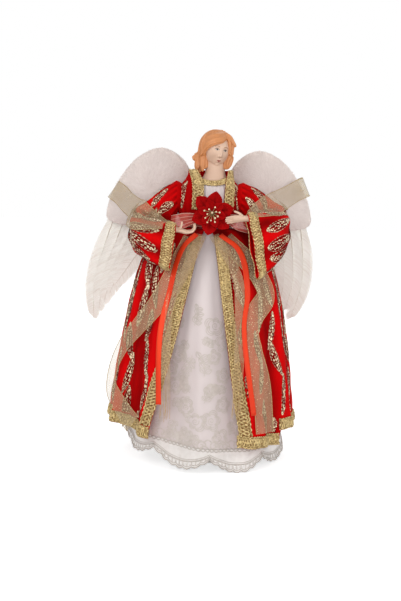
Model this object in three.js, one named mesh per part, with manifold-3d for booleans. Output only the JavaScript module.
// Angel tree topper: a figure in a velvet robe with feather wings, built round a card cone.
// Millimetres, +Z up. The angel looks along -Y, and left and right are the angel's own, so left is +X.
// The origin is the centre of the cone's open base, which slides over the top shoot of a tree.
import * as THREE from "three";
import { mergeVertices } from "three/addons/utils/BufferGeometryUtils.js";
import Module from "manifold-3d";

const wasm = await Module();
wasm.setup();

// Fit: the gap between pieces that rest on each other, the gap under a trim that lies over folds or
// curves, and the running gap of a wire in its bore
const SEAT = 0.4;
const TRIM_EASE = 0.9;
const WIRE_PLAY = 0.35;

// Cloth thicknesses
const VELVET = 1.2;
const SATIN = 1;
const RIBBON = 0.6;
const BRAID = 1.6;
const FELT = 1;
const LACE = 0.8;

// Base cone
const CONE_BASE_RADIUS = 55;
const CONE_TOP_RADIUS = 17;
const CONE_HEIGHT = 270;
const CONE_WALL = 2;
const CONE_SIDES = 40;

// Levels of the figure
const WAIST_Z = 286;
const SHOULDER_Z = 322;
const NECK_Z = 345;
const HEAD_Z = 382;

// Torso form: half-widths and half-depths at the waist, chest and top
const TORSO_WAIST = [20, 17];
const TORSO_CHEST = [30, 21];
const TORSO_TOP = [22, 14];
const TORSO_TOP_Z = 333;

// Bust, head and hair
const BUST_LEAN = 6;
const BUST_HALF_WIDTH = 27;
const BUST_HALF_DEPTH = 15;
const BUST_SLOPE = 0.72;
const NECK_RADIUS = 10.5;
const HEAD_HALF_WIDTH = 15;
const HEAD_HALF_DEPTH = 17;
const HEAD_HALF_HEIGHT = 20;
const HEAD_TURN = 24;
const HEAD_TILT = 8;
const HEAD_FORWARD = 2;
const NOSE_LENGTH = 3.4;
const HAIR_DEPTH = 3.6;
const LOCK_RADIUS = 5;

// White underskirt and its lace hem
const SKIRT_HEM_RADIUS = 102;
const SKIRT_HEM_DEPTH = 98;
const SKIRT_FLARE = 0.6;
const SKIRT_FOLDS = 9;
const SKIRT_FOLD_DEPTH = 3;
const HEM_LOW_ANGLE = 35;
const HEM_RISE = 34;
const HEM_CLEARANCE = 1;
const LACE_DROP = 18;
const LACE_LAP = 8;
const SCALLOPS = 9;
const SCALLOP_TURN = 6;
const SCALLOP_DEPTH = 14;

// Red robe
const ROBE_WAIST = [26, 23];
const ROBE_CHEST = [36, 26];
const ROBE_HEM_RADIUS = 115;
const ROBE_HEM_DEPTH = 109;
const ROBE_SIDE_FLARE = 0.27;
const ROBE_FRONT_FLARE = 0.46;
const ROBE_HEM_Z = 39;
const ROBE_SIDE_RISE = 7;
const ROBE_DIP = 11;
const ROBE_DIP_SLOPE = 6;
const ROBE_DIP_END = 56;
const ROBE_FOLDS = 11;
const ROBE_FOLD_DEPTH = 6;
const ROBE_SIDE_SEAM = 88;
const SEAM_GAP = 0.5;
const OPENING_WAIST = 6;
const OPENING_HEM_LEFT = 25;
const OPENING_HEM_RIGHT = 34;
const LAPEL_EDGE_LEFT = [17.5, 21];
const LAPEL_EDGE_RIGHT = [7, 15];
const COLLAR_HALF_WIDTH = 25.5;
const COLLAR_HALF_DEPTH = 16.5;
const COLLAR_HEIGHT = 11;
const BRAID_WIDTH = 14;
const ARMHOLE_RADIUS = 13;

// Arms: the shoulder axis runs along X
const SHOULDER_X = 40.6;
const SHOULDER_Y = 2;
const SLEEVE_CAP_RADIUS = 18.5;
const ARM_RADIUS = 3;
const ARM_ROOT_X = 22;
const CUFF_SHARE = 0.125;

// Sections of each sleeve at the upper arm, elbow, forearm and bell opening, measured outwards from the
// figure's middle: top, bottom, half-width and heading in degrees
const SLEEVE_LEFT = [
  [[64, -1, 331], [60, -3, 290], 18, -15],
  [[86, -14, 311], [84, -20, 266], 15, -85],
  [[68, -46, 307], [76, -52, 242], 14, -140],
  [[45, -65, 305], [60, -68, 231], 11, -176],
];
const SLEEVE_RIGHT = [
  [[62, -1, 327], [58, -3, 288], 18, -15],
  [[84, -14, 303], [82, -20, 260], 14, -85],
  [[62, -48, 294], [68, -54, 246], 13, -140],
  [[38, -68, 290], [44, -73, 239], 11, -188],
];

// Hands
const WRIST_RADIUS = 3;
const PALM_LENGTH = 14.5;
const PALM_HALF_WIDTH = 5.2;
const PALM_HALF_HEIGHT = 2.8;
const FINGER_LENGTH = 9;
const FINGER_RADIUS = 1.6;
const FINGER_SPAN = 7.2;
const THUMB_RADIUS = 1.8;
const HAND_TURN = 0;

// Bow, ribbons and flower
const GOLD_RIBBON = 25;
const SATIN_RIBBON = 6.5;
const THREAD_RIBBON = 11;
const BOW_RIBBON = 18;
const BOW_REACH = 44;
const BOW_DROOP = 9;
const KNOT_HALF_WIDTH = 9;
const KNOT_HALF_HEIGHT = 9;
const KNOT_DEPTH = 20;
const LOOP_ROOT_GAP = 1.6;
const TAIL_DROP = 9;
const FLOWER_X = 4;
const FLOWER_Z = 305;
const PETALS = 6;
const PETAL_TURN = 12;
const OUTER_PETAL = [26, 8.2];
const INNER_PETAL = [17, 5];
const PETAL_CUP = 5;
const FLOWER_HUB = 5;
const STAMENS = 9;
const STAMEN_LENGTH = 11;
const STAMEN_RADIUS = 0.6;
const ANTHER_RADIUS = 1.3;

// Wings: a card board, flight feathers in layers on its front, and a pad of down over their quills
const WING_ROOT_X = 22;
const WING_TIP_X = 133;
const WING_TOP_Z = 383;
const WING_FOOT_Z = 282;
const WING_Y = 44;
const WING_TILT = 0.19;
const WING_SWEEP = 0.0006;
const DOWN_DEPTH = 6;
const DOWN_ROUND = 4;
const FEATHERS = 5;
const FEATHER = 0.8;
const FEATHER_PITCH = 1.25;
const FEATHER_WIDTH = 21;
const TIP_SHIFT_LEFT = -4;
const TIP_SHIFT_RIGHT = 20;
const BOARD = 1.6;
const BOARD_INSET = 5;
const WING_WIRE_RADIUS = 1.1;
const HINGE_X = 14;
const HINGE_Y = 36;
const BRACKET_Z = [304, 344];
const BRACKET_PLATE = 3;
const BRACKET_TUBE_WALL = 1.8;
const WIRE_REACH = 90;
const WIRE_DROP = 11;

// Quills of the outermost and innermost feathers, from root to tip, across and up the wing
const OUTER_QUILL = [[117, 312], [128, 258], [131, 208], [120, 162]];
const INNER_QUILL = [[58, 306], [70, 268], [82, 236], [90, 212]];

// Gold sash round the wing: where it crosses each outer edge, its slope, and its reach, back and front
const SASH_EDGE_X = 125;
const SASH_EDGE_Z_LEFT = 334;
const SASH_EDGE_Z_RIGHT = 323;
const SASH_SLOPE_LEFT = 25;
const SASH_SLOPE_RIGHT = 35;
const SASH_BACK_REACH = 32;
const SASH_FRONT_REACH = 33;
const SASH_BULGE = 6.5;
const SASH_LIFT_OFF = 9;

// Colours, from the photograph
const skin = finish(0xe3d5c6, 0.55);
const hairPaint = finish(0xdf9a5c, 0.6);
const velvet = finish(0xb3050e, 0.8);
const whiteSatin = finish(0xe6dfe2, 0.6);
const laceThread = finish(0xeae6e0, 0.8);
const goldBraid = finish(0xb79a55, 0.45, 0.6);
const goldSheer = finish(0xb9a37d, 0.5, 0.3);
const orangeSatin = finish(0xe8321a, 0.35);
const redSheer = finish(0xc4585a, 0.5);
const petalFelt = finish(0xb8040c, 0.9);
const goldWire = finish(0xc6ab6a, 0.4, 0.8);
const down = finish(0xeee8e6, 0.95);
const card = finish(0xe9e6df, 0.9);
const steelWire = finish(0x9a9a9a, 0.4, 0.9);

function finish(color, roughness, metalness = 0) {
  return new THREE.MeshStandardMaterial({ color, roughness, metalness });
}

// Small maths

const { lerp, degToRad: rad } = THREE.MathUtils;

function vec(x, y, z) {
  return new THREE.Vector3(x, y, z);
}

// A point on an upright oval. Angle 0 is the front, and angles grow towards the angel's left.
function oval(halfWidth, halfDepth, angle, z) {
  return vec(halfWidth * Math.sin(angle), -halfDepth * Math.cos(angle), z);
}

// A smooth run of ovals through [half-width, half-depth, level] rows.
function ovalProfile(rows) {
  return new THREE.CatmullRomCurve3(rows.map((row) => vec(...row)));
}

function ovalAt(profile, angle, share) {
  const row = profile.getPoint(THREE.MathUtils.clamp(share, 0, 1));
  return oval(row.x, row.y, angle, row.z);
}

// Solids

function indexed(points, triangles) {
  const geometry = new THREE.BufferGeometry().setFromPoints(points);
  geometry.setIndex(triangles);
  return geometry;
}

// The outward normal of surface(u, v), by differences.
function normalAt(surface, u, v) {
  const step = 1e-3;
  const across = surface(u + step, v).sub(surface(u - step, v));
  const along = surface(u, v + step).sub(surface(u, v - step));
  return across.cross(along).normalize();
}

function lifted(surface, u, v, lift) {
  return surface(u, v).addScaledVector(normalAt(surface, u, v), lift);
}

// A sheet of cloth or card: the surface, lifted by offset, with a thickness. It may close on itself along u.
function sheetSolid(surface, { columns, rows, thickness, offset = 0, closed = false }) {
  const across = closed ? columns : columns + 1;
  const points = [];
  for (const lift of [offset + thickness, offset]) {
    for (let row = 0; row <= rows; row++) {
      for (let column = 0; column < across; column++) {
        points.push(lifted(surface, column / columns, row / rows, lift));
      }
    }
  }
  const inside = across * (rows + 1);
  const at = (column, row) => row * across + (column % across);
  const triangles = [];
  const quad = (a, b, c, d) => triangles.push(a, b, c, a, c, d);
  for (let column = 0; column < columns; column++) {
    for (let row = 0; row < rows; row++) {
      const [a, b] = [at(column, row), at(column + 1, row)];
      const [c, d] = [at(column + 1, row + 1), at(column, row + 1)];
      quad(a, b, c, d);
      quad(inside + a, inside + d, inside + c, inside + b);
    }
    const [a, b] = [at(column, 0), at(column + 1, 0)];
    const [c, d] = [at(column, rows), at(column + 1, rows)];
    quad(a, inside + a, inside + b, b);
    quad(c, d, inside + d, inside + c);
  }
  for (let row = 0; row < rows && !closed; row++) {
    const [a, b] = [at(0, row), at(0, row + 1)];
    const [c, d] = [at(columns, row), at(columns, row + 1)];
    quad(a, b, inside + b, inside + a);
    quad(c, inside + c, inside + d, d);
  }
  return indexed(points, triangles);
}

// A closed body through rings of points, each ring counterclockwise seen from the last ring.
function loftSolid(rings) {
  const count = rings[0].length;
  const points = rings.flat();
  const triangles = [];
  for (let ring = 0; ring + 1 < rings.length; ring++) {
    for (let i = 0; i < count; i++) {
      const [a, b] = [ring * count + i, ring * count + ((i + 1) % count)];
      triangles.push(a, b, b + count, a, b + count, a + count);
    }
  }
  const capEnd = (ring, first) => {
    const centre = points.length;
    points.push(ring.reduce((sum, p) => sum.add(p), vec(0, 0, 0)).divideScalar(count));
    for (let i = 0; i < count; i++) {
      const [a, b] = [first + i, first + ((i + 1) % count)];
      triangles.push(centre, ...(first === 0 ? [b, a] : [a, b]));
    }
  };
  capEnd(rings[0], 0);
  capEnd(rings.at(-1), (rings.length - 1) * count);
  return indexed(points, triangles);
}

function ovalLoft(profile, sides, steps) {
  const rings = [];
  for (let step = 0; step <= steps; step++) {
    const angles = Array.from({ length: sides }, (_, i) => (2 * Math.PI * i) / sides);
    rings.push(angles.map((angle) => ovalAt(profile, angle, step / steps)));
  }
  return loftSolid(rings);
}

// A round rod of tapering radius along a curve.
function rodSolid(curve, radiusAt, { sides = 6, steps = 8 } = {}) {
  const frames = curve.computeFrenetFrames(steps);
  const rings = [];
  for (let step = 0; step <= steps; step++) {
    const centre = curve.getPointAt(step / steps);
    const ring = [];
    for (let i = 0; i < sides; i++) {
      const angle = (2 * Math.PI * i) / sides;
      const out = frames.normals[step].clone().multiplyScalar(Math.cos(angle));
      out.addScaledVector(frames.binormals[step], Math.sin(angle));
      ring.push(centre.clone().addScaledVector(out, radiusAt(step / steps)));
    }
    rings.push(ring);
  }
  return loftSolid(rings);
}

function wireSolid(points, radius, steps) {
  const curve = new THREE.CatmullRomCurve3(points, false, "centripetal");
  return rodSolid(curve, () => radius, { sides: 6, steps });
}

function toManifold(geometry) {
  const bare = geometry.clone();
  bare.deleteAttribute("normal");
  bare.deleteAttribute("uv");
  const merged = mergeVertices(bare, 1e-4);
  const vertProperties = new Float32Array(merged.attributes.position.array);
  const triVerts = new Uint32Array(merged.index.array);
  return new wasm.Manifold(new wasm.Mesh({ numProp: 3, vertProperties, triVerts }));
}

function fromManifold(solid) {
  const { vertProperties, triVerts } = solid.getMesh();
  const geometry = new THREE.BufferGeometry();
  geometry.setAttribute("position", new THREE.BufferAttribute(vertProperties, 3));
  geometry.setIndex(new THREE.BufferAttribute(triVerts, 1));
  return geometry;
}

function joined(geometries) {
  return fromManifold(geometries.map(toManifold).reduce((sum, solid) => sum.add(solid)));
}

function cut(geometry, tools) {
  const solids = tools.map(toManifold);
  return fromManifold(solids.reduce((rest, tool) => rest.subtract(tool), toManifold(geometry)));
}

// A cylinder along X, for the bores that the arm wires turn in.
function crossBore(radius, fromX, toX, y, z) {
  const bore = new THREE.CylinderGeometry(radius, radius, toX - fromX, 16);
  return bore.rotateZ(Math.PI / 2).translate((fromX + toX) / 2, y, z);
}

// Base cone

function baseCone() {
  const profile = [
    new THREE.Vector2(CONE_BASE_RADIUS - CONE_WALL, 0),
    new THREE.Vector2(CONE_BASE_RADIUS, 0),
    new THREE.Vector2(CONE_TOP_RADIUS, CONE_HEIGHT),
    new THREE.Vector2(CONE_TOP_RADIUS - CONE_WALL, CONE_HEIGHT),
    new THREE.Vector2(CONE_BASE_RADIUS - CONE_WALL, 0),
  ];
  return new THREE.LatheGeometry(profile, CONE_SIDES).rotateX(Math.PI / 2);
}

// Torso form, on top of the cone, with a cross bore at each shoulder for the arm wire

const torsoBottomZ = CONE_HEIGHT + SEAT;
const chestZ = lerp(WAIST_Z, SHOULDER_Z, 0.65);
const torsoRows = [
  [...TORSO_WAIST, torsoBottomZ],
  [...TORSO_WAIST, WAIST_Z],
  [...TORSO_CHEST, chestZ],
  [...TORSO_TOP, TORSO_TOP_Z],
];

function torsoForm() {
  const body = ovalLoft(ovalProfile(torsoRows), 18, 6);
  const bores = [-1, 1].map((side) => {
    const ends = [side * (ARM_ROOT_X - SEAT), side * (TORSO_CHEST[0] + 10)].sort((a, b) => a - b);
    return crossBore(ARM_RADIUS + WIRE_PLAY, ...ends, SHOULDER_Y, SHOULDER_Z);
  });
  return cut(body, bores);
}

// White bodice: the front of the gown above the waist, close over the torso, up to the neckline

const bustBottomZ = TORSO_TOP_Z + SEAT;
const necklineZ = lerp(bustBottomZ, NECK_Z, 0.5);
const bodiceRows = [
  [TORSO_WAIST[0] + SEAT, TORSO_WAIST[1] + SEAT, WAIST_Z],
  [TORSO_CHEST[0] + TRIM_EASE, TORSO_CHEST[1] + TRIM_EASE, chestZ],
  [BUST_HALF_WIDTH + BUST_LEAN + TRIM_EASE, BUST_HALF_DEPTH + 3, bustBottomZ],
  [BUST_HALF_WIDTH * BUST_SLOPE + BUST_LEAN + TRIM_EASE, BUST_HALF_DEPTH, necklineZ],
];
const bodiceSurface = (u, v) => ovalAt(ovalProfile(bodiceRows), rad(lerp(-70, 70, u)), v);

function bodice() {
  return sheetSolid(bodiceSurface, { columns: 12, rows: 5, thickness: SATIN });
}

function necklineBraid() {
  const surface = (u, v) => bodiceSurface(lerp(0.23, 0.77, u), lerp(0.8, 1, v));
  return sheetSolid(surface, { columns: 14, rows: 1, thickness: BRAID, offset: SATIN + SEAT });
}

// Bust and head: one moulding. Head shapes are made round the head's own centre, facing -Y.

const headPlace = new THREE.Matrix4()
  .makeTranslation(BUST_LEAN, -HEAD_FORWARD, HEAD_Z)
  .multiply(new THREE.Matrix4().makeRotationY(rad(HEAD_TILT)))
  .multiply(new THREE.Matrix4().makeRotationZ(rad(HEAD_TURN)));

const bell = (x, centre, spread) => Math.exp(-(((x - centre) / spread) ** 2));

// A point of the head's skin, grown by a margin. Longitude is from the nose, latitude from the equator.
function headPoint(longitude, latitude, margin = 0) {
  const level = Math.sin(latitude);
  const round = Math.cos(latitude);
  const jaw = 1 - 0.32 * Math.max(0, -level) ** 1.6;
  const x = (HEAD_HALF_WIDTH + margin) * Math.sin(longitude) * round * jaw;
  let y = -(HEAD_HALF_DEPTH + margin) * Math.cos(longitude) * round;
  const ahead = Math.max(0, Math.cos(longitude));
  y -= NOSE_LENGTH * bell(longitude, 0, 0.16) * bell(level, -0.18, 0.2) * ahead;
  y += 0.9 * (bell(longitude, 0.42, 0.2) + bell(longitude, -0.42, 0.2)) * bell(level, 0.1, 0.14);
  y -= 1.6 * bell(longitude, 0, 0.4) * bell(level, -0.86, 0.16);
  return vec(x, y, (HEAD_HALF_HEIGHT + margin) * level);
}

function headForm(margin, sides, steps) {
  const rings = [];
  for (let step = 1; step < steps; step++) {
    const latitude = lerp(-Math.PI / 2, Math.PI / 2, step / steps);
    const turn = (i) => (2 * Math.PI * i) / sides;
    rings.push(Array.from({ length: sides }, (_, i) => headPoint(turn(i), latitude, margin)));
  }
  return loftSolid(rings);
}

function bustForm(margin) {
  const rows = [
    [BUST_HALF_WIDTH + margin, BUST_HALF_DEPTH + margin, bustBottomZ - margin],
    [BUST_HALF_WIDTH * BUST_SLOPE + margin, BUST_HALF_DEPTH * 0.86 + margin, necklineZ],
    [NECK_RADIUS * 1.5 + margin, NECK_RADIUS * 1.25 + margin, NECK_Z],
    [NECK_RADIUS + margin, NECK_RADIUS + margin, NECK_Z + 7],
    [NECK_RADIUS + margin, NECK_RADIUS + margin, HEAD_Z - 8],
  ];
  const leaning = ovalLoft(ovalProfile(rows), 16, 7);
  const shear = new THREE.Matrix4().makeTranslation(BUST_LEAN, 0, 0);
  return leaning.applyMatrix4(shear);
}

function bustHead() {
  return joined([bustForm(0), headForm(0, 22, 14).applyMatrix4(headPlace)]);
}

// Hair: a moulded cap round the skull with wavy locks to the shoulders, open over the face

function lock(points, radius) {
  const curve = new THREE.CatmullRomCurve3(points.map((p) => vec(...p)));
  return rodSolid(curve, (t) => radius * (1 - 0.55 * t ** 2), { sides: 7, steps: 6 });
}

function hair() {
  const side = HEAD_HALF_WIDTH + 1;
  const chin = -HEAD_HALF_HEIGHT;
  const cap = headForm(HAIR_DEPTH, 18, 10);
  const back = lock([[0, 12, 6], [0, 14, -8], [-2, 12, chin + 2], [-2, 11, chin - 6]], LOCK_RADIUS * 2);
  const rightRoute = [
    [2 - side, -3, 8],
    [-side - 1, -5, -4],
    [-side - 1, -3, -13],
    [-side - 5, -2, chin + 1],
  ];
  const leftRoute = [[side - 2, -3, 8], [side + 1, -5, -4], [side, -2, -13], [side - 1, 1, chin + 1]];
  const rightLock = lock([...rightRoute, [-side - 1, 1, chin - 6]], LOCK_RADIUS);
  const leftLock = lock([...leftRoute, [side - 5, 3, chin - 5]], LOCK_RADIUS);
  const face = new THREE.SphereGeometry(1, 14, 8).scale(11.5, 16, 20).translate(1.5, -16, -8);
  const placed = cut(joined([cap, back, rightLock, leftLock]), [face]).applyMatrix4(headPlace);
  const insides = [headForm(SEAT, 22, 14).applyMatrix4(headPlace), bustForm(SEAT)];
  return cut(placed, insides);
}

// Underskirt: gathered at the waist, with soft folds and a hem that dips at the angel's left front

function laceLowZ(angle) {
  return HEM_CLEARANCE + (HEM_RISE * (1 - Math.cos(angle - rad(HEM_LOW_ANGLE)))) / 2;
}

const skirtHemZ = (angle) => laceLowZ(angle) + LACE_DROP;
const skirtTopZ = WAIST_Z - SATIN - SEAT;

function skirtPoint(angle, z) {
  const fall = THREE.MathUtils.clamp((skirtTopZ - z) / skirtTopZ, 0, 1);
  const spread = fall ** SKIRT_FLARE;
  const fold = SKIRT_FOLD_DEPTH * fall * Math.cos(SKIRT_FOLDS * angle);
  const halfWidth = lerp(TORSO_WAIST[0] + SEAT, SKIRT_HEM_RADIUS, spread) + fold;
  const halfDepth = lerp(TORSO_WAIST[1] + SEAT, SKIRT_HEM_DEPTH, spread) + fold;
  return oval(halfWidth, halfDepth, angle, z);
}

// Rows crowd towards the waist, where the cloth turns most.
const crowded = (v) => 1 - Math.max(0, 1 - v) ** 1.8;

function underskirt() {
  const surface = (u, v) => {
    const angle = 2 * Math.PI * u;
    return skirtPoint(angle, lerp(skirtHemZ(angle), skirtTopZ, crowded(v)));
  };
  return sheetSolid(surface, { columns: SKIRT_FOLDS * 5, rows: 5, thickness: SATIN, closed: true });
}

function laceHem() {
  const surface = (u, v) => {
    const angle = 2 * Math.PI * u;
    const scallop = SCALLOP_DEPTH * (1 - Math.abs(Math.sin((SCALLOPS * (angle - rad(SCALLOP_TURN))) / 2)));
    return skirtPoint(angle, lerp(laceLowZ(angle) + scallop, skirtHemZ(angle) + LACE_LAP, v));
  };
  const columns = SCALLOPS * 6;
  return sheetSolid(surface, { columns, rows: 1, thickness: LACE, offset: SATIN + SEAT, closed: true });
}

// Robe skirt: a back and two fronts, open down the front, with deep folds

// The hem lies low along the left front, up to a free edge there, and rises a little at each side.
function robeHemZ(angle) {
  const turn = Math.atan2(Math.sin(angle), Math.cos(angle));
  const rise = ROBE_SIDE_RISE * bell(Math.abs(turn), rad(60), rad(20));
  const front = rad(OPENING_HEM_LEFT);
  const along = THREE.MathUtils.clamp((turn - front) / (rad(ROBE_DIP_END) - front), 0, 1);
  const low = ROBE_HEM_Z - ROBE_DIP + ROBE_DIP_SLOPE * (1 - along);
  const inFront = THREE.MathUtils.smoothstep(turn, 0, front / 2);
  const pastEdge = THREE.MathUtils.smoothstep(turn, rad(ROBE_DIP_END - 2), rad(ROBE_DIP_END + 2));
  return lerp(ROBE_HEM_Z + rise, low, inFront * (1 - pastEdge));
}

const robeTopZ = WAIST_Z - VELVET - 2 * SEAT;

const robeFall = (z) => THREE.MathUtils.clamp((robeTopZ - z) / (robeTopZ - ROBE_HEM_Z + ROBE_DIP), 0, 1);

// The robe with its folds standing out by a share: the cloth itself waves, and its crests keep to 1.
function robePoint(angle, z, fold) {
  const fall = robeFall(z);
  const swell = ROBE_FOLD_DEPTH * fall * fold;
  const halfWidth = lerp(ROBE_WAIST[0], ROBE_HEM_RADIUS, fall ** ROBE_SIDE_FLARE) + swell;
  const halfDepth = lerp(ROBE_WAIST[1], ROBE_HEM_DEPTH, fall ** ROBE_FRONT_FLARE) + swell;
  return oval(halfWidth, halfDepth, angle, z);
}

const robeCloth = (angle, z) => robePoint(angle, z, Math.cos(ROBE_FOLDS * angle));
const robeCrests = (angle, z) => robePoint(angle, z, 1);

// The angle of the robe's front edge on one side (1 is left), at a level.
function openingAngle(side, z) {
  const hem = side > 0 ? OPENING_HEM_LEFT : OPENING_HEM_RIGHT;
  return side * rad(lerp(OPENING_WAIST, hem, robeFall(z)));
}

function robePanel(fromAngle, toAngle, columns) {
  const surface = (u, v) => {
    const atHem = lerp(fromAngle(ROBE_HEM_Z), toAngle(ROBE_HEM_Z), u);
    const z = lerp(robeHemZ(atHem), robeTopZ, crowded(v));
    return robeCloth(lerp(fromAngle(z), toAngle(z), u), z);
  };
  return sheetSolid(surface, { columns, rows: 6, thickness: VELVET });
}

const seamHalfGap = SEAM_GAP / ROBE_WAIST[0];
const seamAngle = (side) => side * (rad(ROBE_SIDE_SEAM) - seamHalfGap);

const robeSkirtLeft = () => robePanel((z) => openingAngle(1, z), () => seamAngle(1), 14);
const robeSkirtRight = () => robePanel(() => seamAngle(-1), (z) => openingAngle(-1, z), 14);

function robeSkirtBack() {
  const from = rad(ROBE_SIDE_SEAM) + seamHalfGap;
  return robePanel(() => from, () => 2 * Math.PI - from, 34);
}

// Robe bodice: over the shoulders to a standing collar, open at the front, with an armhole at each side

const robeBodiceRows = [
  [...ROBE_WAIST, WAIST_Z],
  [...ROBE_CHEST, lerp(WAIST_Z, SHOULDER_Z, 0.4)],
  [SHOULDER_X - VELVET - TRIM_EASE, ROBE_CHEST[1], lerp(WAIST_Z, SHOULDER_Z, 0.85)],
  [SHOULDER_X - 4, ROBE_WAIST[1] - 1.5, lerp(SHOULDER_Z, NECK_Z, 0.5)],
  [COLLAR_HALF_WIDTH + 5, COLLAR_HALF_DEPTH + 1.5, NECK_Z - 3],
  [COLLAR_HALF_WIDTH + 1, COLLAR_HALF_DEPTH + 0.5, lerp(NECK_Z, NECK_Z + COLLAR_HEIGHT, 0.4)],
  [COLLAR_HALF_WIDTH, COLLAR_HALF_DEPTH, NECK_Z + COLLAR_HEIGHT],
];
const robeBodiceProfile = ovalProfile(robeBodiceRows);
const robeBodicePoint = (angle, v) => ovalAt(robeBodiceProfile, angle, v);

// Shares of the way up the bodice: the top of the waist sash and the foot of the lapels
const sashTopShare = 1.1 / (robeBodiceRows.length - 1);
const lapelFootShare = 1.5 / (robeBodiceRows.length - 1);

// The angle of the bodice's front edge on one side (1 is left), which opens further towards the collar.
function lapelAngle(side, v) {
  const [foot, top] = side > 0 ? LAPEL_EDGE_LEFT : LAPEL_EDGE_RIGHT;
  const share = THREE.MathUtils.clamp((v - lapelFootShare) / (1 - lapelFootShare), 0, 1);
  return Math.asin(lerp(foot, top, share) / robeBodicePoint(Math.PI / 2, v).x);
}

function robeBodice() {
  const surface = (u, v) => robeBodicePoint(lerp(lapelAngle(1, v), 2 * Math.PI - lapelAngle(-1, v), u), v);
  const shell = sheetSolid(surface, { columns: 24, rows: 8, thickness: VELVET });
  const holes = [-1, 1].map((side) => {
    const ends = [side * SHOULDER_X * 0.75, side * (SHOULDER_X + 10)].sort((a, b) => a - b);
    return crossBore(ARMHOLE_RADIUS, ...ends, SHOULDER_Y, SHOULDER_Z);
  });
  return cut(shell, holes);
}

// Braids on the robe: lapels, front edges and hem

const trimLift = VELVET + TRIM_EASE;

function lapelBraid(side) {
  const surface = (u, v) => {
    const share = lerp(lapelFootShare, 1, v);
    const width = BRAID_WIDTH / robeBodicePoint(Math.PI / 2, share).x;
    return robeBodicePoint(lapelAngle(side, share) + u * width, share);
  };
  return sheetSolid(surface, { columns: 2, rows: 9, thickness: BRAID, offset: trimLift });
}

function frontBraid(side) {
  const corner = openingAngle(side, ROBE_HEM_Z);
  const hemZ = Math.max(robeHemZ(corner), robeHemZ(corner + (side * BRAID_WIDTH) / ROBE_HEM_RADIUS));
  const surface = (u, v) => {
    const z = lerp(hemZ + BRAID_WIDTH + TRIM_EASE, robeTopZ - TAIL_DROP, crowded(v));
    const edge = openingAngle(side, z);
    const width = (side * BRAID_WIDTH) / robeCrests(Math.PI / 2, z).x;
    return robeCloth(side > 0 ? lerp(edge, edge + width, u) : lerp(edge + width, edge, u), z);
  };
  return sheetSolid(surface, { columns: 2, rows: 12, thickness: BRAID, offset: trimLift });
}

// Half of the hem's braid, from the front edge round to the middle of the back.
function hemBraid(side) {
  const front = openingAngle(side, ROBE_HEM_Z);
  const back = side * Math.PI - side * seamHalfGap;
  const surface = (u, v) => {
    const angle = side > 0 ? lerp(front, back, u) : lerp(back, front, u);
    return robeCloth(angle, robeHemZ(angle) + lerp(SEAT, BRAID_WIDTH, v));
  };
  return sheetSolid(surface, { columns: 36, rows: 1, thickness: BRAID, offset: trimLift });
}

// Waist sash, bow and its tails

function waistSash() {
  const surface = (u, v) => robeBodicePoint(2 * Math.PI * u, lerp(0.09, 1, v) * sashTopShare);
  return sheetSolid(surface, { columns: 32, rows: 2, thickness: RIBBON, offset: trimLift, closed: true });
}

const knotBackY = robeBodicePoint(0, sashTopShare).y - trimLift - RIBBON - SEAT;
const knotZ = FLOWER_Z - FLOWER_HUB;
const knotFrontY = knotBackY - KNOT_DEPTH;

function bowKnot() {
  const middle = (knotBackY + knotFrontY) / 2;
  const knot = new THREE.SphereGeometry(1, 12, 8);
  return knot.scale(KNOT_HALF_WIDTH, KNOT_DEPTH / 2, KNOT_HALF_HEIGHT).translate(FLOWER_X, middle, knotZ);
}

// One loop of the bow: a band bent round from the knot and back to it, measured outwards on its side.
function bowLoop(side) {
  const root = KNOT_HALF_WIDTH + LOOP_ROOT_GAP;
  const middle = (knotBackY + knotFrontY) / 2;
  const curve = new THREE.CatmullRomCurve3(
    [
      vec(root, middle - 1.5, 0),
      vec(lerp(root, BOW_REACH, 0.6), middle - 5, 0),
      vec(BOW_REACH, middle, 0),
      vec(lerp(root, BOW_REACH, 0.6), middle + 5, 0),
      vec(root, middle + 1.5, 0),
    ],
    true,
  );
  const surface = (u, v) => {
    const p = curve.getPoint(THREE.MathUtils.euclideanModulo(u, 1));
    const reach = (p.x - root) / (BOW_REACH - root);
    const half = (BOW_RIBBON / 2) * lerp(0.5, 1, THREE.MathUtils.clamp(reach * 1.6, 0, 1));
    return vec(p.x + side * FLOWER_X, p.y, knotZ - BOW_DROOP * reach + lerp(-half, half, v));
  };
  return sheetSolid(surface, { columns: 18, rows: 1, thickness: RIBBON, closed: true });
}

// A ribbon that lies on the robe's crests. The route is rows of [angle, level, how far it stands off].
function ribbonOnRobe(route, width, layer, steps) {
  const path = new THREE.CatmullRomCurve3(route.map(([angle, z, off]) => vec(rad(angle), z, off)));
  const centre = (t) => {
    const row = path.getPoint(THREE.MathUtils.clamp(t, 0, 1));
    return robeCrests(row.x, row.y);
  };
  const crest = (u, v) => robeCrests(u, v);
  const surface = (u, v) => {
    const row = path.getPoint(THREE.MathUtils.clamp(v, 0, 1));
    const along = centre(Math.min(v + 0.01, 1)).sub(centre(Math.max(v - 0.01, 0)));
    const side = along.cross(normalAt(crest, row.x, row.y)).normalize();
    const beside = centre(v).addScaledVector(side, (u - 0.5) * width);
    const { x: halfWidth } = robeCrests(Math.PI / 2, beside.z);
    const halfDepth = -robeCrests(0, beside.z).y;
    const angle = Math.atan2(beside.x / halfWidth, -beside.y / halfDepth);
    return lifted(crest, angle, beside.z, layer + row.z);
  };
  return sheetSolid(surface, { columns: 2, rows: steps, thickness: RIBBON });
}

const goldLayer = trimLift + BRAID + TRIM_EASE;
const threadLayer = goldLayer + RIBBON + SEAT;
const satinLayer = threadLayer + RIBBON + SEAT;
const tailTopZ = robeTopZ - TAIL_DROP;

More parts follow.
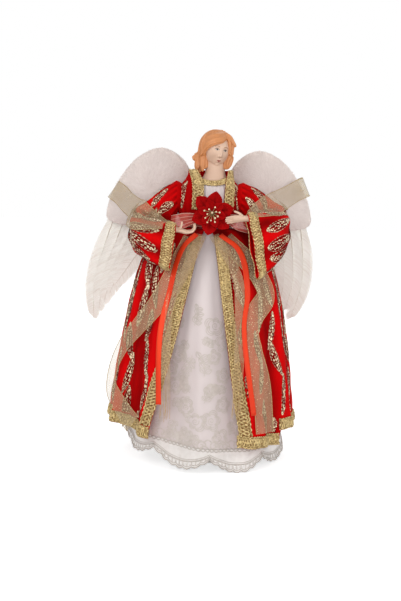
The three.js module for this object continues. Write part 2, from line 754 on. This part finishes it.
// Routes of the tails, from the bow to the hem
const GOLD_ROUTE_LEFT = [
  [17, tailTopZ - 3, -0.6],
  [32, 253, 0],
  [47, 224, 0],
  [49, 207, 0],
  [38, 190, 0],
  [31, 172, 0],
  [32, 148, 0],
  [37, 108, 0],
  [38, 50, 0],
];
const GOLD_ROUTE_RIGHT = [
  [-15, tailTopZ - 3, -0.6],
  [-23, 240, 0],
  [-36, 195, 0],
  [-49, 167, 1],
  [-63, 140, 2],
  [-71, 108, 4],
  [-68, 88, 4],
  [-56, 73, 2],
  [-42, 54, 0],
];
const SATIN_ROUTE_LEFT = [[13, tailTopZ, 0], [27, 262, 0], [31, 215, 0], [26, 172, 0], [30, 72, 0]];
const SATIN_ROUTE_RIGHT = [[-12, tailTopZ, 0], [-21, 263, 0], [-27, 204, 0], [-29, 163, 0], [-25, 82, 0]];
const THREAD_ROUTE_LEFT = [[6, tailTopZ, 0], [14, 260, 0], [24, 230, 0], [24, 198, 0], [19, 72, 0]];
const THREAD_ROUTE_RIGHT = [[-7, tailTopZ, 0], [-14, 245, 0], [-25, 198, 0], [-25, 164, 0], [-20, 68, 0]];

const goldTail = (route) => ribbonOnRobe(route, GOLD_RIBBON, goldLayer, 24);
const satinTail = (route) => ribbonOnRobe(route, SATIN_RIBBON, satinLayer, 14);
const threadTail = (route) => ribbonOnRobe(route, THREAD_RIBBON, threadLayer, 14);

// Poinsettia: two layers of felt petals on a hub, and a bunch of wire stamens

const outerPetalY = knotFrontY - SEAT;
const outerHubDepth = FELT + PETAL_CUP * 0.5;
const innerPetalY = outerPetalY - outerHubDepth - SEAT;
const innerHubDepth = FELT * 2;

// A whorl of petals whose hub stands on backY and which opens towards -Y.
function petalWhorl([length, halfWidth], backY, depth, turn) {
  const hub = new THREE.CylinderGeometry(FLOWER_HUB, FLOWER_HUB, depth, 12).translate(0, -depth / 2, 0);
  const solids = [hub];
  for (let i = 0; i < PETALS; i++) {
    const surface = (u, v) => {
      const reach = lerp(FLOWER_HUB * 0.7, length, v);
      const half = halfWidth * Math.max(0.06, Math.sin(Math.PI * Math.min(0.05 + 0.95 * v, 1)));
      const crease = 1.2 * Math.abs(2 * u - 1);
      return vec(lerp(half, -half, u), -PETAL_CUP * v ** 2 - crease - FELT * 0.5, reach);
    };
    const petal = sheetSolid(surface, { columns: 2, rows: 4, thickness: FELT, offset: -FELT * 0.5 });
    solids.push(petal.rotateY((2 * Math.PI * i) / PETALS + turn));
  }
  return joined(solids).translate(FLOWER_X, backY, FLOWER_Z);
}

const outerPetals = () => petalWhorl(OUTER_PETAL, outerPetalY, outerHubDepth, rad(PETAL_TURN));
const innerPetals = () => petalWhorl(INNER_PETAL, innerPetalY, innerHubDepth, rad(PETAL_TURN + 30));

function stamens() {
  const backY = innerPetalY - innerHubDepth - SEAT;
  const solids = [new THREE.CylinderGeometry(2.4, 2.4, 1.2, 12).translate(0, -0.6, 0)];
  for (let i = 0; i < STAMENS; i++) {
    const angle = i * Math.PI * (3 - Math.sqrt(5));
    const lean = 0.25 + 0.6 * Math.sqrt(i / STAMENS);
    const tip = vec(Math.sin(angle) * Math.sin(lean), -Math.cos(lean), Math.cos(angle) * Math.sin(lean));
    const root = vec(tip.x * 2.2, -0.8, tip.z * 2.2);
    const end = root.clone().addScaledVector(tip, STAMEN_LENGTH);
    solids.push(rodSolid(new THREE.LineCurve3(root, end), () => STAMEN_RADIUS, { sides: 4, steps: 1 }));
    solids.push(new THREE.IcosahedronGeometry(ANTHER_RADIUS, 0).translate(end.x, end.y, end.z));
  }
  return joined(solids).translate(FLOWER_X, backY, FLOWER_Z);
}

// Sleeve: sections from the shoulder seam, round the elbow, to the hanging bell opening, measured outwards
// from the figure's middle. Each row is the section's top, its bottom, its half-width and its heading.

const capTop = [SHOULDER_X, SHOULDER_Y, SHOULDER_Z + SLEEVE_CAP_RADIUS];
const capBottom = [SHOULDER_X, SHOULDER_Y, SHOULDER_Z - SLEEVE_CAP_RADIUS];

// A sleeve's surface: u goes round from the top towards the crook of the arm, v from shoulder to opening.
function sleeveSurface(sections) {
  const rows = [[capTop, capBottom, SLEEVE_CAP_RADIUS, 0], ...sections];
  const tops = new THREE.CatmullRomCurve3(rows.map((row) => vec(...row[0])));
  const bottoms = new THREE.CatmullRomCurve3(rows.map((row) => vec(...row[1])));
  const shapes = new THREE.CatmullRomCurve3(rows.map((row) => vec(row[2], rad(row[3]), 0)));
  return (u, v) => {
    const along = THREE.MathUtils.clamp(v, 0, 1);
    const { x: halfWidth, y: heading } = shapes.getPoint(along);
    const angle = 2 * Math.PI * u;
    const crook = vec(Math.sin(heading), -Math.cos(heading), 0);
    const ahead = vec(Math.cos(heading), Math.sin(heading), 0);
    const point = tops.getPoint(along).lerp(bottoms.getPoint(along), (1 - Math.cos(angle)) / 2);
    point.addScaledVector(crook, halfWidth * Math.sin(angle));
    return point.addScaledVector(ahead, v - along);
  };
}

const SLEEVE_COLUMNS = 14;
const SLEEVE_ROWS = 12;

function sleeve(surface) {
  const [columns, rows] = [SLEEVE_COLUMNS, SLEEVE_ROWS];
  return sheetSolid(surface, { columns, rows, thickness: VELVET, closed: true });
}

function cuffBraid(sleevePoint) {
  const surface = (u, v) => sleevePoint(u, lerp(1 - CUFF_SHARE, 1, v));
  const columns = SLEEVE_COLUMNS;
  return sheetSolid(surface, { columns, rows: 1, thickness: BRAID, offset: trimLift, closed: true });
}

// The gold sash where it lies over the forearm, along the sleeve's ridge and down its outer side.
function armSash(sleevePoint) {
  const surface = (u, v) => sleevePoint(lerp(-3, 0, u) / SLEEVE_COLUMNS, lerp(5, 10, v) / SLEEVE_ROWS);
  return sheetSolid(surface, { columns: 3, rows: 5, thickness: RIBBON, offset: trimLift });
}

// Arm: a wire wrapped in paper, from its bore in the torso, under the sleeve's ridge, to the wrist

const underRidge = (sleevePoint, v) => lifted(sleevePoint, 0, v, -ARM_RADIUS - 1.5 * TRIM_EASE);

function armWire(sleevePoint) {
  const route = [
    vec(ARM_ROOT_X, SHOULDER_Y, SHOULDER_Z),
    vec(SHOULDER_X - 6, SHOULDER_Y, SHOULDER_Z),
    vec(SHOULDER_X + 4, SHOULDER_Y, SHOULDER_Z),
    ...[0.28, 0.42, 0.54, 0.66, 0.82, 1].map((v) => underRidge(sleevePoint, v)),
  ];
  return wireSolid(route, ARM_RADIUS, 20);
}

// Hand: palm, four fingers and a thumb, moulded in one. It points along +X from the wrist, palm up.

function finger(points, radius) {
  const curve = new THREE.CatmullRomCurve3(points.map((p) => vec(...p)));
  return rodSolid(curve, (t) => radius * (1 - 0.35 * t), { sides: 5, steps: 3 });
}

function hand(curl) {
  const palmRows = [
    [0, WRIST_RADIUS, WRIST_RADIUS],
    [PALM_LENGTH * 0.35, PALM_HALF_WIDTH * 0.8, PALM_HALF_HEIGHT],
    [PALM_LENGTH * 0.75, PALM_HALF_WIDTH, PALM_HALF_HEIGHT * 0.95],
    [PALM_LENGTH, PALM_HALF_WIDTH * 0.92, PALM_HALF_HEIGHT * 0.7],
  ];
  const rings = palmRows.map(([x, halfWidth, halfHeight]) =>
    Array.from({ length: 8 }, (_, i) => {
      const angle = (2 * Math.PI * i) / 8;
      return vec(x, halfWidth * Math.cos(angle), halfHeight * Math.sin(angle));
    }),
  );
  const solids = [loftSolid(rings)];
  for (let i = 0; i < 4; i++) {
    const y = lerp(-FINGER_SPAN / 2, FINGER_SPAN / 2, i / 3);
    const length = FINGER_LENGTH * (1 - 0.09 * (i - 1.2) ** 2);
    const knuckle = [PALM_LENGTH - FINGER_RADIUS, y, 0];
    const middle = [PALM_LENGTH + length * 0.45, y * 1.1, length * curl * 0.2];
    const tip = [PALM_LENGTH + length * 0.8, y * 1.05, length * curl];
    solids.push(finger([knuckle, middle, tip], FINGER_RADIUS));
  }
  const thumbRoot = [PALM_LENGTH * 0.3, PALM_HALF_WIDTH * 0.6, 0];
  const thumbBend = [PALM_LENGTH * 0.55, PALM_HALF_WIDTH * 1.15, PALM_HALF_HEIGHT * 0.9];
  const thumbTip = [PALM_LENGTH * 0.8, PALM_HALF_WIDTH * 1.25, PALM_HALF_HEIGHT * 2.3];
  solids.push(finger([thumbRoot, thumbBend, thumbTip], THUMB_RADIUS));
  return joined(solids);
}

function placedHand(sleevePoint, curl, pitch) {
  const turn = new THREE.Euler(rad(pitch), 0, Math.PI - rad(HAND_TURN), "ZYX");
  const place = new THREE.Matrix4().makeRotationFromEuler(turn);
  const wrist = underRidge(sleevePoint, 1);
  const ahead = wrist.clone().sub(underRidge(sleevePoint, 0.95)).normalize();
  const clear = SEAT + ARM_RADIUS * Math.abs(ahead.y);
  return hand(curl).applyMatrix4(place).translate(wrist.x - clear, wrist.y, wrist.z);
}

// Wings. A wing point is given across and up the wing and by its depth behind the wing's own surface.

function wingPoint(x, z, depth) {
  return vec(x, WING_Y + WING_TILT * (NECK_Z - z) + WING_SWEEP * x * x + depth, z);
}

// The wing's lobe, as shares of its width from root to tip and of its height from foot to top
const LOBE = [
  [0.02, 0.3],
  [0, 0.62],
  [0.13, 0.88],
  [0.36, 1],
  [0.63, 0.88],
  [0.85, 0.6],
  [0.98, 0.3],
  [1, 0.08],
  [0.81, 0],
  [0.43, 0.06],
];

function wingOutline(inset) {
  const at = (x, z) => new THREE.Vector2(lerp(WING_ROOT_X, WING_TIP_X, x), lerp(WING_FOOT_Z, WING_TOP_Z, z));
  const middle = at(0.5, 0.45);
  const points = LOBE.map((share) => {
    const out = at(...share).sub(middle);
    return vec(...middle.clone().addScaledVector(out, 1 - inset / out.length()).toArray(), 0);
  });
  const loop = new THREE.CatmullRomCurve3(points, true).getPoints(26).slice(0, -1);
  return new THREE.Shape(loop.map((p) => new THREE.Vector2(p.x, p.y)));
}

// Bends an extrusion of a wing outline on to the wing, from the given depth towards the front.
function bentToWing(geometry, depth) {
  const position = geometry.attributes.position;
  for (let i = 0; i < position.count; i++) {
    const [x, z, forward] = [position.getX(i), position.getY(i), position.getZ(i)];
    position.setXYZ(i, ...wingPoint(x, z, depth - forward).toArray());
  }
  return geometry;
}

const featherDepth = FEATHERS * FEATHER_PITCH + TRIM_EASE;
const boardDepth = featherDepth + BOARD + SEAT;

function wingDown() {
  const options = {
    depth: DOWN_DEPTH,
    bevelThickness: DOWN_ROUND,
    bevelSize: DOWN_ROUND,
    bevelSegments: 2,
    steps: 1,
  };
  return bentToWing(new THREE.ExtrudeGeometry(wingOutline(DOWN_ROUND), options), -DOWN_ROUND);
}

function wingBoard() {
  const options = { depth: BOARD, bevelEnabled: false };
  return bentToWing(new THREE.ExtrudeGeometry(wingOutline(BOARD_INSET), options), boardDepth);
}

// A flight feather in its own layer: a tapered vane along a curved quill. Feather 0 is the outermost.
function feather(index, tipShift) {
  const inward = index / (FEATHERS - 1);
  const points = OUTER_QUILL.map(([x, z], i) => {
    const [innerX, innerZ] = INNER_QUILL[i];
    const shift = tipShift * (i / (OUTER_QUILL.length - 1)) ** 1.15;
    return vec(lerp(x, innerX, inward) + shift, lerp(z, innerZ, inward), 0);
  });
  const quill = new THREE.CatmullRomCurve3(points);
  const depth = TRIM_EASE + FEATHER + (FEATHERS - 1 - index) * FEATHER_PITCH;
  const surface = (u, v) => {
    const t = THREE.MathUtils.clamp(v, 0, 1);
    const centre = quill.getPoint(t);
    const along = quill.getTangent(t);
    const taper = Math.sqrt(Math.max(0.02, 1 - t ** 5)) * lerp(0.55, 1, Math.min(1, t * 2.5));
    const half = (u - 0.5) * FEATHER_WIDTH * taper;
    const past = (v - t) * FEATHER_WIDTH;
    return wingPoint(centre.x + along.y * half, centre.y - along.x * half - past, depth);
  };
  return sheetSolid(surface, { columns: 2, rows: 9, thickness: FEATHER, offset: 0 });
}

// Wing wire: an upright leg that turns in the bracket, bent out along the back of the board
function wingWire() {
  const behind = boardDepth + WING_WIRE_RADIUS + TRIM_EASE;
  const top = BRACKET_Z[1];
  const route = [
    vec(HINGE_X, HINGE_Y, BRACKET_Z[0]),
    vec(HINGE_X, HINGE_Y, lerp(...BRACKET_Z, 0.5)),
    vec(HINGE_X, HINGE_Y, top + 1),
    vec(HINGE_X, HINGE_Y, top + 5),
    vec(HINGE_X + 1.5, HINGE_Y + 5, top + 8),
    wingPoint(HINGE_X + 10, top + 5, behind),
    wingPoint(lerp(HINGE_X, WIRE_REACH, 0.45), top + 2, behind),
    wingPoint(lerp(HINGE_X, WIRE_REACH, 0.76), top - WIRE_DROP * 0.3, behind),
    wingPoint(WIRE_REACH, top - WIRE_DROP, behind),
  ];
  return wireSolid(route, WING_WIRE_RADIUS, 18);
}

// The gold sash round the wing: from the back, over the outer edge and across the down towards the elbow
function wingSash(edgeZ, slope) {
  const inwards = new THREE.Vector2(-Math.cos(rad(slope)), -Math.sin(rad(slope)));
  const front = -DOWN_DEPTH - DOWN_ROUND * 2 - SEAT;
  const back = boardDepth + SEAT + RIBBON + SEAT;
  const path = new THREE.CatmullRomCurve3([
    vec(SASH_BACK_REACH, back, 0),
    vec(SASH_BACK_REACH * 0.26, back, 0),
    vec(-SASH_BULGE * 0.54, boardDepth - 1, 0),
    vec(-SASH_BULGE, (boardDepth + front) / 2, 0),
    vec(-SASH_BULGE * 0.62, front - 0.6, 0),
    vec(SASH_FRONT_REACH * 0.3, front - 1.2, 0),
    vec(SASH_FRONT_REACH * 0.73, front - 2.5, 0),
    vec(SASH_FRONT_REACH, front - SASH_LIFT_OFF, 0),
  ]);
  const surface = (u, v) => {
    const row = path.getPoint(THREE.MathUtils.clamp(v, 0, 1));
    const beside = (u - 0.5) * GOLD_RIBBON;
    const x = SASH_EDGE_X + inwards.x * row.x - inwards.y * beside;
    const z = edgeZ + inwards.y * row.x + inwards.x * beside;
    return wingPoint(x, z, row.y);
  };
  return sheetSolid(surface, { columns: 2, rows: 16, thickness: RIBBON });
}

// Bracket on the back of the robe: a plate with an upright tube at each side for the wing wires
function wingBracket() {
  const backY = ROBE_CHEST[1] + VELVET + TRIM_EASE;
  const tubeRadius = WING_WIRE_RADIUS + WIRE_PLAY + BRACKET_TUBE_WALL;
  const height = BRACKET_Z[1] - BRACKET_Z[0];
  const middleZ = lerp(...BRACKET_Z, 0.5);
  const plate = new THREE.BoxGeometry(2 * HINGE_X, BRACKET_PLATE, height);
  plate.translate(0, backY + BRACKET_PLATE / 2, middleZ);
  const solids = [plate];
  const bores = [];
  for (const side of [-1, 1]) {
    const upright = (radius, length) =>
      new THREE.CylinderGeometry(radius, radius, length, 16)
        .rotateX(Math.PI / 2)
        .translate(side * HINGE_X, HINGE_Y, middleZ);
    const webDepth = HINGE_Y - backY;
    const web = new THREE.BoxGeometry(BRACKET_TUBE_WALL * 2, webDepth, height);
    web.translate(side * (HINGE_X - BRACKET_TUBE_WALL), backY + webDepth / 2, middleZ);
    solids.push(web, upright(tubeRadius, height));
    bores.push(upright(WING_WIRE_RADIUS + WIRE_PLAY, height + 2));
  }
  return cut(joined(solids), bores);
}

// Assembly

const angel = new THREE.Group();

function add(name, geometry, material, parent = angel) {
  const mesh = new THREE.Mesh(geometry, material);
  mesh.name = name;
  parent.add(mesh);
}

add("base_cone", baseCone(), card);
add("torso_form", torsoForm(), card);
add("bust_head", bustHead(), skin);
add("hair", hair(), hairPaint);
add("bodice", bodice(), whiteSatin);
add("neckline_braid", necklineBraid(), goldBraid);
add("underskirt", underskirt(), whiteSatin);
add("lace_hem", laceHem(), laceThread);
add("robe_bodice", robeBodice(), velvet);
add("robe_skirt_back", robeSkirtBack(), velvet);
add("robe_skirt_left", robeSkirtLeft(), velvet);
add("robe_skirt_right", robeSkirtRight(), velvet);
add("waist_sash", waistSash(), redSheer);
add("bow_knot", bowKnot(), redSheer);
add("gold_tail_left", goldTail(GOLD_ROUTE_LEFT), goldSheer);
add("gold_tail_right", goldTail(GOLD_ROUTE_RIGHT), goldSheer);
add("satin_tail_left", satinTail(SATIN_ROUTE_LEFT), orangeSatin);
add("satin_tail_right", satinTail(SATIN_ROUTE_RIGHT), orangeSatin);
add("thread_tail_left", threadTail(THREAD_ROUTE_LEFT), goldSheer);
add("thread_tail_right", threadTail(THREAD_ROUTE_RIGHT), goldSheer);
add("poinsettia_outer_petals", outerPetals(), petalFelt);
add("poinsettia_inner_petals", innerPetals(), petalFelt);
add("poinsettia_stamens", stamens(), goldWire);
add("wing_bracket", wingBracket(), card);

// Paired pieces: each is made for the left, and the right one stands in a mirrored group
for (const [suffix, side] of [["left", 1], ["right", -1]]) {
  const half = new THREE.Group();
  half.scale.x = side;
  angel.add(half);
  const pair = (name, geometry, material) => add(name + "_" + suffix, geometry, material, half);
  const sleevePoint = sleeveSurface(side > 0 ? SLEEVE_LEFT : SLEEVE_RIGHT);
  const sashEdgeZ = side > 0 ? SASH_EDGE_Z_LEFT : SASH_EDGE_Z_RIGHT;
  const sashSlope = side > 0 ? SASH_SLOPE_LEFT : SASH_SLOPE_RIGHT;
  pair("lapel_braid", lapelBraid(side), goldBraid);
  add("front_braid_" + suffix, frontBraid(side), goldBraid);
  add("hem_braid_" + suffix, hemBraid(side), goldBraid);
  pair("bow_loop", bowLoop(side), redSheer);
  pair("arm_wire", armWire(sleevePoint), steelWire);
  pair("hand", placedHand(sleevePoint, side > 0 ? 0.2 : 0.7, side > 0 ? 60 : -10), skin);
  pair("sleeve", sleeve(sleevePoint), velvet);
  pair("cuff_braid", cuffBraid(sleevePoint), goldBraid);
  pair("arm_sash", armSash(sleevePoint), goldSheer);
  pair("wing_wire", wingWire(), steelWire);
  pair("wing_board", wingBoard(), card);
  pair("wing_down", wingDown(), down);
  pair("wing_sash", wingSash(sashEdgeZ, sashSlope), goldSheer);
  for (let i = 0; i < FEATHERS; i++) {
    pair("feather_" + (i + 1), feather(i, side > 0 ? TIP_SHIFT_LEFT : TIP_SHIFT_RIGHT), down);
  }
}

export default angel;
